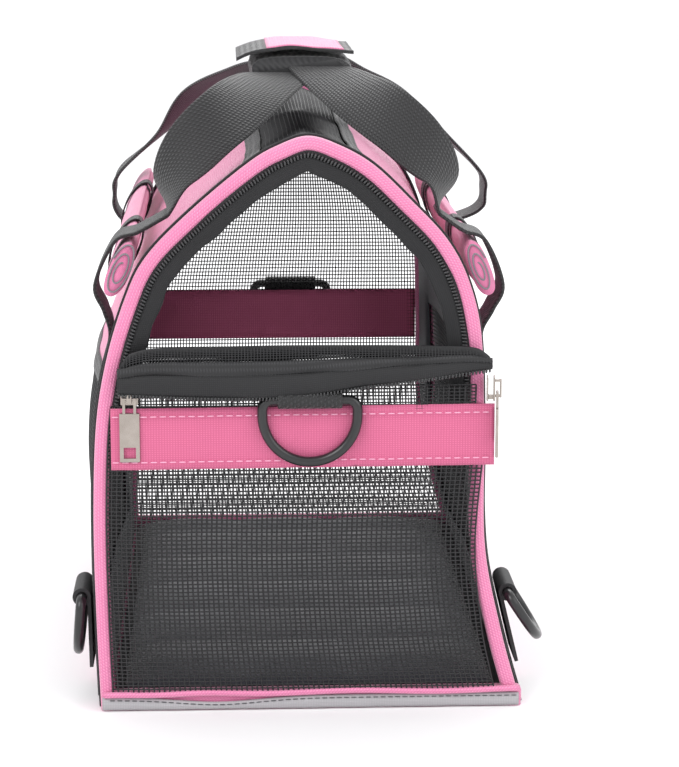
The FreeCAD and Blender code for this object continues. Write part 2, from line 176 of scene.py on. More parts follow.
def wall(share, y, inset=SKIN_INSET):
    """Point of the body's shell, with its swell and soft creases."""
    x, z = arch(share, inset)
    nx, nz = -ARCH_IN[min(int(share * (len(ARCH_LINE) - 1)), len(ARCH_LINE) - 1)]
    out = swell(y, z)
    if z > ROOF_FOOT:
        out -= ROOF_SAG * (1 - (y / 0.22) ** 2) * min(1, (z - ROOF_FOOT) / 0.03)
    crease = noise.noise(Vector((x * 9, y * 16, z * 14))) * CREASE
    crease *= min(1, (REAR - y) / 0.03, (y - FRONT) / 0.03)
    out += crease * min(1, z / 0.03)
    return Vector((x + nx * out, y, z + nz * out))


# ---- meshes -------------------------------------------------------------
def make_mesh(name, verts, faces, material, uvs=None, shade=True):
    mesh = bpy.data.meshes.new(name)
    mesh.from_pydata([tuple(v) for v in verts], [], faces)
    if uvs is not None:
        layer = mesh.uv_layers.new(name="cloth")
        index = np.zeros(len(mesh.loops), int)
        mesh.loops.foreach_get("vertex_index", index)
        layer.data.foreach_set("uv", np.array(uvs, float)[index].ravel())
    mesh.materials.append(material)
    mesh.polygons.foreach_set("use_smooth", [shade] * len(mesh.polygons))
    mesh.validate()
    obj = bpy.data.objects.new(name, mesh)
    bpy.context.scene.collection.objects.link(obj)
    return obj


def grid(name, points, material, thickness=0.0, skip=None, inward=True):
    """Cloth from a grid of points, with a map in metres; skip(i, j) leaves cells open."""
    p = np.array(points, float)
    rows, cols = p.shape[:2]
    u = np.zeros((rows, cols))
    v = np.zeros((rows, cols))
    u[1:] = np.cumsum(np.linalg.norm(np.diff(p, axis=0), axis=2), 0)
    v[:, 1:] = np.cumsum(np.linalg.norm(np.diff(p, axis=1), axis=2), 1)
    faces = []
    for i in range(rows - 1):
        for j in range(cols - 1):
            if skip is None or not skip(i, j):
                a = i * cols + j
                faces.append((a, a + 1, a + cols + 1, a + cols))
    uvs = np.stack([u.ravel(), v.ravel()], 1)
    obj = make_mesh(name, p.reshape(-1, 3), faces, material, uvs)
    drop_loose(obj)
    if thickness:
        solid = obj.modifiers.new("thick", "SOLIDIFY")
        solid.thickness = thickness
        solid.offset = -1 if inward else 1
    return obj


def drop_loose(obj):
    bm = bmesh.new()
    bm.from_mesh(obj.data)
    bmesh.ops.delete(bm, geom=[v for v in bm.verts if not v.link_faces], context="VERTS")
    bm.to_mesh(obj.data)
    bm.free()


def tube_grid(name, rings, material, cap=True, closed=False):
    """Skin over closed rings of points, each ring a section of the piece."""
    p = np.array(rings, float)
    count, around = p.shape[:2]
    v = np.zeros((count, around))
    v[:, 1:] = np.cumsum(np.linalg.norm(np.diff(p, axis=1), axis=2), 1)
    u = np.zeros((count, around))
    u[1:] = np.cumsum(np.linalg.norm(np.diff(p, axis=0), axis=2).mean(1)[:, None]
                      * np.ones(around), 0)
    faces = []
    for i in range(count - 1 + closed):
        for j in range(around):
            a, b = i * around, ((i + 1) % count) * around
            k = (j + 1) % around
            faces.append((a + j, b + j, b + k, a + k))
    if cap and not closed:
        faces.append(tuple(range(around)))
        faces.append(tuple(range(count * around - 1, (count - 1) * around - 1, -1)))
    return make_mesh(name, p.reshape(-1, 3), faces, material,
                     np.stack([u.ravel(), v.ravel()], 1))


def sweep(name, line, across, section, material, cap=True):
    """Section of (across, normal) offsets along line; across gives its sideways axis."""
    line, across = np.array(line, float), np.array(across, float)
    along = np.gradient(line, axis=0)
    along /= np.linalg.norm(along, axis=1)[:, None]
    across = across - along * (across * along).sum(1)[:, None]
    across /= np.linalg.norm(across, axis=1)[:, None]
    normal = np.cross(along, across)
    rings = [[c + a * s + n * t for s, t in section]
             for c, a, n in zip(line, across, normal)]
    return tube_grid(name, rings, material, cap)


def webbing_section(width=WEBBING_WIDE, thick=WEBBING_THICK, steps=8):
    """Flat section with rounded edges, as (across, normal) points."""
    half, t = width / 2, thick / 2
    top = [(x, t) for x in np.linspace(-half + t, half - t, steps)]
    edge = [(half - t + t * math.sin(a), t * math.cos(a)) for a in (0.8, 1.57, 2.34)]
    right = edge + [(x, -t) for x, _ in top[::-1]]
    return top + right + [(-x, y) for x, y in edge[::-1]]


def round_section(r, steps=12):
    return [(r * math.cos(a), r * math.sin(a))
            for a in np.linspace(0, 2 * math.pi, steps, endpoint=False)]


def webbing(name, stations, steps=8):
    """Webbing through stations of (centre, direction of its width)."""
    line = smooth([s[0] for s in stations], steps)
    across = smooth([s[1] for s in stations], steps)
    return sweep(name, line, across, webbing_section(), WEBBING)


def lattice(name, surface, across, up, half_across, half_up, material, thick=0.00035):
    """Open net: strands of four-sided section both ways over surface(u, v)."""
    us, vs = np.linspace(0, 1, across + 1), np.linspace(0, 1, up + 1)
    p = np.array([[surface(u, v) for v in vs] for u in us], float)
    tu, tv = np.gradient(p, axis=0), np.gradient(p, axis=1)
    tu /= np.linalg.norm(tu, axis=2)[..., None]
    tv /= np.linalg.norm(tv, axis=2)[..., None]
    n = np.cross(tu, tv)
    n /= np.linalg.norm(n, axis=2)[..., None]
    verts, faces, base = [], [], 0
    for grid_p, side, normal, half in ((p, tu, n, half_across),
                                       (p.transpose(1, 0, 2), tv.transpose(1, 0, 2),
                                        n.transpose(1, 0, 2), half_up)):
        for line, s, m in zip(grid_p, side, normal):
            count = len(line)
            ring = np.stack([line + s * half, line + m * thick, line - s * half,
                             line - m * thick], 1)
            verts.append(ring.reshape(-1, 3))
            for i in range(count - 1):
                for j in range(4):
                    a = base + i * 4
                    k = (j + 1) % 4
                    faces.append((a + j, a + 4 + j, a + 4 + k, a + k))
            faces.append((base + 3, base + 2, base + 1, base))
            last = base + (count - 1) * 4
            faces.append((last, last + 1, last + 2, last + 3))
            base += count * 4
    return make_mesh(name, np.concatenate(verts), faces, material)


def join_meshes(name, objs):
    """One object from several new ones, with their modifiers applied."""
    bm = bmesh.new()
    material = objs[0].data.materials[0]
    graph = bpy.context.evaluated_depsgraph_get()
    for obj in objs:
        mesh = bpy.data.meshes.new_from_object(obj.evaluated_get(graph))
        bm.from_mesh(mesh)
    mesh = bpy.data.meshes.new(name)
    bm.to_mesh(mesh)
    bm.free()
    mesh.materials.clear()
    mesh.materials.append(material)
    for obj in objs:
        bpy.data.objects.remove(obj)
    joined = bpy.data.objects.new(name, mesh)
    bpy.context.scene.collection.objects.link(joined)
    return joined


def beads(name, line, up, size, pitch, material, twist=0.0):
    """Small rounded blocks at an even pitch along line, such as zip teeth or stitches."""
    line, up = np.array(line, float), np.array(up, float)
    s = lengths(line)
    at = np.arange(pitch / 2, s[-1], pitch)
    centre = np.stack([np.interp(at, s, line[:, k]) for k in range(3)], 1)
    along = np.gradient(line, axis=0)
    along = np.stack([np.interp(at, s, along[:, k]) for k in range(3)], 1)
    along /= np.linalg.norm(along, axis=1)[:, None]
    out = np.stack([np.interp(at, s, up[:, k]) for k in range(3)], 1)
    side = np.cross(along, out)
    side /= np.linalg.norm(side, axis=1)[:, None]
    shape = []
    for a in (-1, -0.55, 0.55, 1):
        r = 0.62 if abs(a) == 1 else 1.0
        for b, c in ((1, 0.5), (0.5, 1), (-0.5, 1), (-1, 0.5), (-1, -0.5), (-0.5, -1),
                     (0.5, -1), (1, -0.5)):
            shape.append((a, b * r, c * r))
    verts, faces = [], []
    ct, st = math.cos(twist), math.sin(twist)
    for i in range(len(at)):
        base = len(verts)
        for a, b, c in shape:
            da, db = a * size[0], b * size[1]
            da, db = da * ct - db * st, da * st + db * ct
            verts.append(centre[i] + along[i] * da + side[i] * db + out[i] * c * size[2])
        for k in range(3):
            for j in range(8):
                n = (j + 1) % 8
                q = base + k * 8
                faces.append((q + j, q + 8 + j, q + 8 + n, q + n))
        faces.append(tuple(base + j for j in range(8)))
        faces.append(tuple(base + 24 + j for j in range(7, -1, -1)))
    return make_mesh(name, verts, faces, material)


def place(obj, body, *nodes, slot=None):
    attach(obj, body)
    if nodes:
        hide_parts(*nodes)
    return obj


# ---- materials ----------------------------------------------------------
def new_material(name, rough, metal=0.0, sheen=0.0, coat=0.0):
    mat = bpy.data.materials.new(name)
    mat.use_nodes = True
    shader = mat.node_tree.nodes["Principled BSDF"]
    shader.inputs["Roughness"].default_value = rough
    shader.inputs["Metallic"].default_value = metal
    shader.inputs["Sheen Weight"].default_value = sheen
    shader.inputs["Coat Weight"].default_value = coat
    return mat, mat.node_tree, shader


def math_node(tree, operation, a, b=None):
    node = tree.nodes.new("ShaderNodeMath")
    node.operation = operation
    for socket, value in zip(node.inputs, (a, b)):
        if value is None:
            continue
        if isinstance(value, (int, float)):
            socket.default_value = value
        else:
            tree.links.new(value, socket)
    return node.outputs[0]


def ridge(tree, value, pitch, shift=0.0):
    """0 to 1 ripple of a coordinate with the given pitch."""
    scaled = math_node(tree, "MULTIPLY", value, 2 * math.pi / pitch)
    moved = math_node(tree, "ADD", scaled, shift)
    wave = math_node(tree, "SINE", moved)
    half = math_node(tree, "MULTIPLY", wave, 0.5)
    return math_node(tree, "ADD", half, 0.5)


def weave_height(tree, u, v, pitch_u, pitch_v, twill=0.0):
    """Over-under weave: one set of threads rises where the other dips."""
    a, b = ridge(tree, u, pitch_u), ridge(tree, v, pitch_v, 0.4)
    if twill:
        slant = math_node(tree, "ADD", u, math_node(tree, "MULTIPLY", v, twill))
        return math_node(tree, "MULTIPLY", ridge(tree, slant, pitch_u), b)
    return math_node(tree, "MULTIPLY", a, b)


def finish_cloth(mat, tree, shader, height, dark, light, bump, depth, blotch=0.12):
    mix = tree.nodes.new("ShaderNodeMix")
    mix.data_type = "RGBA"
    mix.inputs[6].default_value = (*dark, 1)
    mix.inputs[7].default_value = (*light, 1)
    noise_node = tree.nodes.new("ShaderNodeTexNoise")
    noise_node.inputs["Scale"].default_value = 28
    noise_node.inputs["Detail"].default_value = 4
    coords = tree.nodes.new("ShaderNodeTexCoord")
    tree.links.new(coords.outputs["Object"], noise_node.inputs["Vector"])
    wash = math_node(tree, "MULTIPLY", math_node(tree, "SUBTRACT", noise_node.outputs[0], 0.5),
                     2 * blotch)
    share = math_node(tree, "ADD", height, wash)
    tree.links.new(share, mix.inputs[0])
    tree.links.new(mix.outputs[2], shader.inputs["Base Color"])
    bump_node = tree.nodes.new("ShaderNodeBump")
    bump_node.inputs["Strength"].default_value = bump
    bump_node.inputs["Distance"].default_value = depth
    tree.links.new(height, bump_node.inputs["Height"])
    tree.links.new(bump_node.outputs[0], shader.inputs["Normal"])
    return mat


def cloth(name, dark, light, pitch=(0.0012, 0.0009), rough=0.75, sheen=0.25, bump=0.5,
          depth=0.0003, twill=0.0):
    mat, tree, shader = new_material(name, rough, sheen=sheen)
    uv = tree.nodes.new("ShaderNodeUVMap")
    uv.uv_map = "cloth"
    split = tree.nodes.new("ShaderNodeSeparateXYZ")
    tree.links.new(uv.outputs[0], split.inputs[0])
    height = weave_height(tree, split.outputs[0], split.outputs[1], *pitch, twill)
    return finish_cloth(mat, tree, shader, height, dark, light, bump, depth)


def grained(name, dark, light, scale, rough, metal=0.0, coat=0.0, bump=0.1, sheen=0.0):
    """Noise-grained finish mapped in space, for moulded, cast and fleecy parts."""
    mat, tree, shader = new_material(name, rough, metal, sheen, coat)
    coords = tree.nodes.new("ShaderNodeTexCoord")
    grain = tree.nodes.new("ShaderNodeTexNoise")
    grain.inputs["Scale"].default_value = scale
    grain.inputs["Detail"].default_value = 5
    tree.links.new(coords.outputs["Object"], grain.inputs["Vector"])
    return finish_cloth(mat, tree, shader, grain.outputs[0], dark, light, bump, 0.0003, 0.05)


PINK = cloth("pink_polyester", (0.64, 0.165, 0.33), (0.82, 0.285, 0.47), (0.0017, 0.0013),
             rough=0.62, sheen=0.35, bump=0.45, depth=0.0004)
PINK_HEM = cloth("pink_hem", (0.66, 0.175, 0.345), (0.87, 0.32, 0.51), (0.0019, 0.0016),
                 rough=0.6, sheen=0.4, bump=0.6, depth=0.0005, twill=0.8)
PINK_BAND = cloth("pink_band", (0.54, 0.095, 0.21), (0.69, 0.165, 0.30), (0.0016, 0.0013),
                  rough=0.65, sheen=0.25, bump=0.4, depth=0.0003)
WEBBING = cloth("black_webbing", (0.004, 0.004, 0.0045), (0.030, 0.030, 0.033),
                (0.0026, 0.0022), rough=0.55, sheen=0.15, bump=1.0, depth=0.0008, twill=0.5)
TAPE = cloth("zip_tape", (0.004, 0.004, 0.005), (0.016, 0.016, 0.018), (0.0012, 0.0012),
             rough=0.7, sheen=0.1, bump=0.5, depth=0.0003)
BINDING = cloth("binding", (0.005, 0.005, 0.006), (0.024, 0.024, 0.027), (0.0018, 0.0040),
                rough=0.6, sheen=0.2, bump=0.8, depth=0.0005)
LINING = cloth("lining", (0.016, 0.018, 0.024), (0.034, 0.037, 0.048), (0.0012, 0.0010),
               rough=0.7, sheen=0.2, bump=0.3, depth=0.0002)
GREY_CLOTH = cloth("cover_inside", (0.16, 0.16, 0.175), (0.27, 0.27, 0.29),
                   (0.0012, 0.0010), rough=0.6, sheen=0.3, bump=0.3, depth=0.0002)
REFLECT = cloth("reflective", (0.34, 0.33, 0.345), (0.47, 0.46, 0.475), (0.0010, 0.0010),
                rough=0.42, sheen=0.1, bump=0.25, depth=0.0002)
NET = grained("net", (0.006, 0.006, 0.007), (0.022, 0.022, 0.024), 900, 0.5, bump=0.2)
COIL = grained("coil", (0.010, 0.010, 0.011), (0.030, 0.030, 0.032), 600, 0.28, coat=0.3)
PLASTIC = grained("ring_plastic", (0.006, 0.006, 0.007), (0.014, 0.014, 0.015), 260, 0.30,
                  coat=0.15, bump=0.06)
NICKEL = grained("nickel", (0.26, 0.225, 0.20), (0.48, 0.43, 0.39), 120, 0.24, metal=1.0,
                 bump=0.08)
FLEECE = grained("fleece", (0.035, 0.038, 0.048), (0.085, 0.09, 0.105), 420, 0.95,
                 bump=0.8, sheen=0.5)
BOARD = grained("board", (0.03, 0.03, 0.032), (0.05, 0.05, 0.053), 160, 0.6)
WEBBING_SOLID = grained("webbing_solid", (0.004, 0.004, 0.0045), (0.03, 0.03, 0.033), 500,
                        0.6, bump=0.6)
THREAD = grained("pink_thread", (0.72, 0.30, 0.46), (0.86, 0.45, 0.60), 800, 0.6)
DARK_THREAD = grained("grey_thread", (0.05, 0.05, 0.055), (0.10, 0.10, 0.11), 800, 0.7)


# ---- body shell ---------------------------------------------------------
Y0, Y1 = FRONT + HEM_DEPTH, REAR - HEM_DEPTH
RIDGE_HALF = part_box("roof_mesh")[1].x


def shares_between(a, b, step):
    count = max(2, int(abs(b - a) * lengths(ARCH_LINE)[-1] / step))
    return list(np.linspace(a, b, count))


def shell_rows(side):
    """Shares from the base seam to the ridge mesh, with rows on the window's edges."""
    marks = [share_at(side, z) for z in (0.001, WINDOW_LOW, WINDOW_HIGH)]
    marks.append(share_at(side, RIDGE_Z[side]))
    rows = []
    for a, b in zip(marks, marks[1:]):
        rows += shares_between(a, b, WALL_STEP)[:-1]
    return rows + [marks[-1]], marks


def ridge_height(side):
    x = side * RIDGE_HALF
    half = ARCH_LINE[:TOP + 1] if side < 0 else ARCH_LINE[TOP:]
    order = np.argsort(half[:, 0])
    return float(np.interp(x, half[order, 0], half[order, 1]))


RIDGE_Z = {-1: ridge_height(-1), 1: ridge_height(1)}
SIDE_NAMES = {-1: "left", 1: "right"}


def y_columns():
    columns = list(np.linspace(Y0, -WINDOW_HALF, 8)[:-1])
    columns += list(np.linspace(-WINDOW_HALF, WINDOW_HALF, 44))
    return columns + list(np.linspace(WINDOW_HALF, Y1, 8)[1:])


def make_walls():
    columns = y_columns()
    for side, name in SIDE_NAMES.items():
        rows, marks = shell_rows(side)
        low, high = sorted(marks[1:3])

        def in_window(i, j, rows=rows, low=low, high=high):
            middle = (rows[i] + rows[i + 1]) / 2
            return low < middle < high and abs(columns[j] + columns[j + 1]) / 2 < WINDOW_HALF
        points = [[wall(s, y) for y in columns] for s in rows]
        skin = grid("wall_skin_" + name, points, PINK, SKIN_THICK, in_window,
                    inward=side > 0)
        place(skin, "bag", "side_wall_" + name, "roof_" + name, slot="pink_polyester")
        inner = [[wall(s, y, LINING_INSET) for y in columns] for s in rows]
        lining = grid("wall_lining_" + name, inner, LINING, TAPE_THICK, in_window,
                      inward=side > 0)
        place(lining, "bag", "lining_" + name, slot="lining")
        make_window(side, name)


def window_point(side):
    low, high = share_at(side, WINDOW_LOW - 0.004), share_at(side, WINDOW_HIGH + 0.004)
    half = WINDOW_HALF + 0.004

    def surface(u, v):
        return wall(low + (high - low) * v, -half + 2 * half * u, NET_INSET)
    return surface


def tape_row(side, start, end, t):
    """Points across the window's binding at share t of one edge, mitred at the corners."""
    (ya, za), (yb, zb) = start, end
    y, z = ya + (yb - ya) * t, za + (zb - za) * t
    mitre = abs(2 * t - 1)
    upright = ya == yb
    row = []
    for k in np.linspace(0, 1, 5):
        flat = TAPE_WIDE * k
        yy = y + math.copysign(flat, y) * (1 if upright else mitre)
        zz = z + (flat if z > 0.1 else -flat) * (mitre if upright else 1)
        rise = 0.0006 * math.sin(math.pi * k)
        row.append(wall(share_at(side, zz), yy, TAPE_INSET - rise))
    return row


def make_window(side, name):
    net = lattice("window_net_" + name, window_point(side), 118, 56, 0.00042, 0.00042, NET)
    place(net, "bag", "side_mesh_" + name, slot="black_mesh")
    corners = [(-WINDOW_HALF, WINDOW_LOW), (WINDOW_HALF, WINDOW_LOW),
               (WINDOW_HALF, WINDOW_HIGH), (-WINDOW_HALF, WINDOW_HIGH)]
    tape = []
    for start, end in zip(corners, corners[1:] + corners[:1]):
        rows = [tape_row(side, start, end, t) for t in np.linspace(0, 1, 40)]
        tape.append(grid("binding", rows, BINDING, TAPE_THICK, inward=side > 0))
    place(join_meshes("window_tape_" + name, tape), "bag", "window_binding_" + name,
          slot="black_binding")


def make_roof_net():
    low, high = share_at(-1, RIDGE_Z[-1]), share_at(1, RIDGE_Z[1])

    def surface(u, v):
        return wall(low + (high - low) * v, Y0 + (Y1 - Y0) * u, 0.003)
    net = lattice("ridge_net", surface, 150, 24, 0.0005, 0.0005, NET)
    place(net, "bag", "roof_mesh", slot="black_mesh")
    for side, name in SIDE_NAMES.items():
        share = share_at(side, RIDGE_Z[side])
        step = 0.006 / lengths(ARCH_LINE)[-1]
        rows = [[wall(share + d * step, y, TAPE_INSET) for d in (-1, -0.5, 0, 0.5, 1)]
                for y in np.linspace(Y0, Y1, 60)]
        tape = grid("ridge_tape_" + name, rows, BINDING, TAPE_THICK)
        place(tape, "bag", slot="black_binding")


# ---- arch hems and the fixed zip ----------------------------------------
def arch_path(y, inset, share0=0.0, share1=1.0, count=260):
    """Line round the arch at one y, moved inward by inset."""
    line = [arch(s, inset) for s in np.linspace(share0, share1, count)]
    return np.array([[x, y, z] for x, z in line])


def inward_path(share0=0.0, share1=1.0, count=260):
    """Inward directions at the stations of arch_path."""
    shares = np.linspace(share0, share1, count) * (len(ARCH_LINE) - 1)
    index = np.arange(len(ARCH_LINE))
    return np.array([[np.interp(s, index, ARCH_IN[:, 0]), 0,
                      np.interp(s, index, ARCH_IN[:, 1])] for s in shares])


def hem_section(width, depth, steps=20):
    """Section of a padded hem, a rounded block."""
    points = []
    for a in np.linspace(0, 2 * math.pi, steps, endpoint=False):
        c, s = math.cos(a), math.sin(a)
        points.append((math.copysign(abs(c) ** 0.6, c) * width / 2,
                       math.copysign(abs(s) ** 0.7, s) * depth / 2))
    return points


def make_hems():
    for end, y, seam_y in (("front", FRONT + HEM_DEPTH / 2, Y0),
                           ("rear", REAR - HEM_DEPTH / 2, Y1)):
        line = arch_path(y, HEM / 2)
        for i, p in enumerate(line):
            pucker = noise.noise(Vector((p[0] * 40, p[1], p[2] * 40))) * HEM_PUCKER
            line[i] = p + np.array([0, pucker, 0])
        hem = sweep(end + "_hem", line, inward_path(), hem_section(HEM, HEM_DEPTH), PINK_HEM)
        place(hem, "bag", end + "_arch_hem", end + "_arch_bone", slot="pink_hem")
        piping = sweep(end + "_piping_cord", arch_path(seam_y, -0.0002), inward_path(),
                       round_section(PIPING_RADIUS, 8), TAPE)
        covered = ["front_piping"] if end == "front" else []
        place(piping, "bag", *covered, slot="black_piping")


def make_arch_zip():
    """The zip half sewn round the door: teeth, wavy tape and the flange under them."""
    low_left, low_right = share_at(-1, ARCH_ZIP_FOOT), share_at(1, ARCH_ZIP_FOOT)
    coil_line = arch_path(FRONT - 0.0004, COIL_INSET, low_left, low_right, 500)
    outward = np.tile([0.0, -1.0, 0.0], (500, 1))
    teeth = beads("arch_zip_teeth", coil_line, outward, (0.00062, 0.0016, 0.0011),
                  TOOTH_PITCH, COIL, TOOTH_TURN)
    place(teeth, "bag", "front_zip_coil", slot="zip_coil")
    inward = inward_path(low_left, low_right, 300)
    rows = []
    edge = arch_path(FRONT - 0.0004, ZIP_TAPE_INSET, low_left, low_right, 300)
    for i, (base, inner) in enumerate(zip(edge, inward)):
        row = []
        for k in np.linspace(0, 1, 7):
            wave = noise.noise(Vector((i * 0.05, k * 1.5, 3.1))) * 0.0014 * k
            step = (ZIP_TAPE_WIDE + noise.noise(Vector((i * 0.09, 7.7, 0))) * 0.0012) * k
            row.append(base + inner * step + np.array([0, 0.0002 + 0.0035 * k + wave, 0]))
        rows.append(row)
    tape = grid("arch_zip_tape", rows, TAPE, 0.0009)
    place(tape, "bag", "front_zip_tape", slot="zip_tape")
    edge = arch_path(FRONT + 0.0010, FLANGE_INSET, low_left, low_right, 300)
    flange = [[base + inner * d for d in np.linspace(0, FLANGE_WIDE, 4)]
              for base, inner in zip(edge, inward)]
    under = grid("arch_zip_flange", flange, TAPE, 0.0006)
    place(under, "bag", slot="zip_tape")


# ---- base ---------------------------------------------------------------
def rounded_box(name, low, high, material, bevel, segments=3):
    x0, y0, z0 = low
    x1, y1, z1 = high
    verts = [(x, y, z) for x in (x0, x1) for y in (y0, y1) for z in (z0, z1)]
    faces = [(0, 1, 3, 2), (4, 6, 7, 5), (0, 4, 5, 1), (2, 3, 7, 6), (0, 2, 6, 4), (1, 5, 7, 3)]
    obj = make_mesh(name, verts, faces, material, [(v[0] + v[2], v[1] + v[2]) for v in verts])
    mod = obj.modifiers.new("round", "BEVEL")
    mod.width, mod.segments = bevel, segments
    return obj


def make_base():
    for end in ("front", "rear"):
        low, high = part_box(end + "_base_hem")
        hem = rounded_box(end + "_base_fold", low, high, PINK_HEM, 0.003)
        place(hem, "bag", end + "_base_hem", slot="pink_polyester")
    for name, node, material, slot in (
            ("base_cloth", "base_panel", PINK, "pink_polyester"),
            ("base_stiffener", "base_board", BOARD, "base_board")):
        low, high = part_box(node)
        place(rounded_box(name, low, high, material, BASE_ROUND), "bag", node, slot=slot)
    make_mat()
    make_front_trim()


def make_mat():
    """Quilted floor pad: crowned between its sewn channels."""
    low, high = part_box("floor_mat")
    thick = high.z - low.z - MAT_EDGE

    def quilt(x, y):
        px = abs(math.sin(math.pi * (x - low.x) / QUILT_CHANNEL))
        py = abs(math.sin(math.pi * (y - low.y) / QUILT_CHANNEL))
        return 0.62 + 0.38 * (px * py) ** 0.4
    rings = []
    for v in np.linspace(0, 1, 81):
        y = low.y + (high.y - low.y) * v
        end = min(1, min(v, 1 - v) * 14) ** 0.5
        top, bottom = [], []
        for u in np.linspace(0, 1, 49):
            x = low.x + (high.x - low.x) * u
            edge = min(1, min(u, 1 - u) * 10) ** 0.5 * end
            top.append((x, y, low.z + MAT_EDGE + thick * edge * quilt(x, y)))
            bottom.append((x, y, low.z + 0.0005 + 0.002 * (1 - edge)))
        rings.append(top + bottom[::-1])
    mat = tube_grid("quilted_mat", rings, FLEECE)
    place(mat, "bag", "floor_mat", slot="mat_fleece")


def strip_pinch(x):
    return STRIP_PINCH * math.exp(-((x - STRIP_PINCH_X) / 0.035) ** 2)


def make_front_trim():
    """Piping and the stitched reflective strip along the front of the base."""
    low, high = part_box("front_base_piping")
    line = [(x, (low.y + high.y) / 2, low.z + 0.0017
             - 0.0012 * math.exp(-((x + 0.09) / 0.02) ** 2)
             + 0.0006 * math.sin(x * 60)) for x in np.linspace(low.x, high.x, 90)]
    piping = sweep("base_piping_cord", line, np.tile([0, 0, 1.0], (90, 1)),
                   round_section(BASE_PIPING_RADIUS, 12), PINK_HEM)
    place(piping, "bag", "front_base_piping", slot="pink_hem")
    low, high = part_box("front_reflective_strip")
    rows = []
    for x in np.linspace(low.x - 0.001, high.x, 120):
        ripple = noise.noise(Vector((x * 60, 1.7, 0)))
        rows.append([(x, low.y - 0.0004 - 0.0012 * math.sin(math.pi * k) - 0.0004 * ripple,
                      low.z + (high.z - low.z - strip_pinch(x)) * k)
                     for k in np.linspace(0, 1, 6)])
    strip = grid("reflective_band", rows, REFLECT, 0.0007, inward=False)
    place(strip, "bag", "front_reflective_strip", slot="reflective_tape")
    sew = [(x, low.y - 0.0016, high.z - 0.0016 - strip_pinch(x))
           for x in np.linspace(low.x + 0.003, high.x - 0.003, 80)]
    thread = beads("reflective_stitches", sew, np.tile([0, -1.0, 0], (80, 1)),
                   (0.0016, 0.0003, 0.0003), 0.0044, DARK_THREAD)
    place(thread, "bag", slot="black_piping")


# ---- front and rear panels ----------------------------------------------
def front_edges(z):
    """Left and right x of the front net at height z: the net laps the right hem."""
    left = wall_x(-1, max(z, 0.002), HEM)
    tuck = float(np.interp(z, TUCK_HEIGHTS, TUCKS))
    return left - 0.001, wall_x(1, max(z, 0.002), tuck)


def front_surface(u, v):
    """Front net: it bellies out below the band and ripples where it hangs free."""
    z = FRONT_NET_FOOT + (BAND_HIGH - FRONT_NET_FOOT) * v
    left, right = front_edges(z)
    x = left + (right - left) * u
    belly = FRONT_NET_BELLY * math.sin(math.pi * u) ** 0.8
    belly *= math.sin(math.pi * min(1, v * 1.28)) ** 0.9
    ripple = noise.noise(Vector((x * 30, 5.0, z * 22))) * FRONT_NET_RIPPLE
    edge = max(0, min(1, u / 0.08, (1 - u) / 0.05, v / 0.1, (0.78 - v) / 0.12))
    lap = 0.0012 * min(1, u / 0.06)
    return (x, FRONT - 0.0002 - lap - belly - ripple * edge - 0.0006, z)


def make_front_panel():
    net = lattice("front_net", front_surface, 74, 72, 0.00052, 0.00048, NET)
    place(net, "bag", "front_mesh", slot="black_mesh")
    rows = []
    low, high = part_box("front_band")
    for x in np.linspace(low.x + 0.001, high.x + 0.002, 110):
        row = []
        lift = 0.0016 * noise.noise(Vector((x * 26, 2.0, 0.5)))
        rise = 0.0022 * ((x - low.x) / (high.x - low.x))
        for k in np.linspace(0, 1, 12):
            z = low.z - 0.001 + (high.z - low.z) * k + rise * 0.6
            fold = 0.0007 * noise.noise(Vector((x * 55, k * 1.2, 9.0)))
            y = low.y + 0.0002 - 0.0006 * math.sin(math.pi * k) + lift * 0.35 + fold
            row.append((x, y, z))
        rows.append(row)
    band = grid("front_band_cloth", rows, PINK_BAND, 0.0011, inward=False)
    place(band, "bag", "front_band", slot="pink_band")
    sewn = []
    for k in (0.13, 0.87):
        line = []
        for row in rows:
            index = k * (len(row) - 1)
            i = int(index)
            a, b = np.array(row[i]), np.array(row[i + 1])
            line.append(a + (b - a) * (index - i) + np.array([0, -0.0014, 0]))
        sewn.append(beads("s", line, np.tile([0, -1.0, 0], (len(line), 1)),
                          (0.0019, 0.00034, 0.0003), BAND_STITCH, THREAD))
    place(join_meshes("front_band_stitches", sewn), "bag", slot="pink_band")


def make_rear_panel():
    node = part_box("rear_mesh")

    def surface(u, v):
        z = 0.011 + (node[1].z - 0.011) * v
        left, right = wall_x(-1, z, HEM - 0.001), wall_x(1, z, HEM - 0.001)
        if z > node[1].z - 0.004:
            left, right = -0.012, 0.012
        x = left + (right - left) * u
        return (x, node[0].y + 0.001 + 0.002 * math.sin(math.pi * u) * math.sin(math.pi * v), z)
    net = lattice("rear_net", surface, 96, 118, 0.00042, 0.00042, NET)
    place(net, "bag", "rear_mesh", slot="black_mesh")
    low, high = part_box("rear_band")
    rows = [[(x, high.y - 0.0006, z) for z in np.linspace(low.z, high.z, 8)]
            for x in np.linspace(low.x, high.x, 60)]
    band = grid("rear_band_cloth", rows, PINK_BAND, 0.0012)
    place(band, "bag", "rear_band", slot="pink_band")


# ---- rings, sliders, pullers --------------------------------------------
JOINTS = {j["name"]: j for j in frame["joints"]}


def set_material(node, material):
    obj = frame["nodes"][node]
    obj.data.materials.clear()
    obj.data.materials.append(material)
    for polygon in obj.data.polygons:
        polygon.use_smooth = True
    split = obj.modifiers.new("edges", "EDGE_SPLIT")
    split.split_angle = math.radians(35)


def ring_band(name, joint, back, tail):
    """Webbing folded round a ring's bar: a loop with a tail on the back side."""
    pos = Vector(JOINTS[joint]["pos_m"])
    r = 0.0044
    down = Vector((0, 0, -1))
    line = [pos + back * r + down * tail, pos + back * r + down * tail * 0.5]
    for a in np.linspace(0, 1.35 * math.pi, 14):
        line.append(pos + back * r * math.cos(a) - down * r * math.sin(a))
    across = np.tile([1.0, 0.0, 0.0], (len(line), 1))
    return sweep(name, line, across, webbing_section(thick=0.0018), WEBBING)


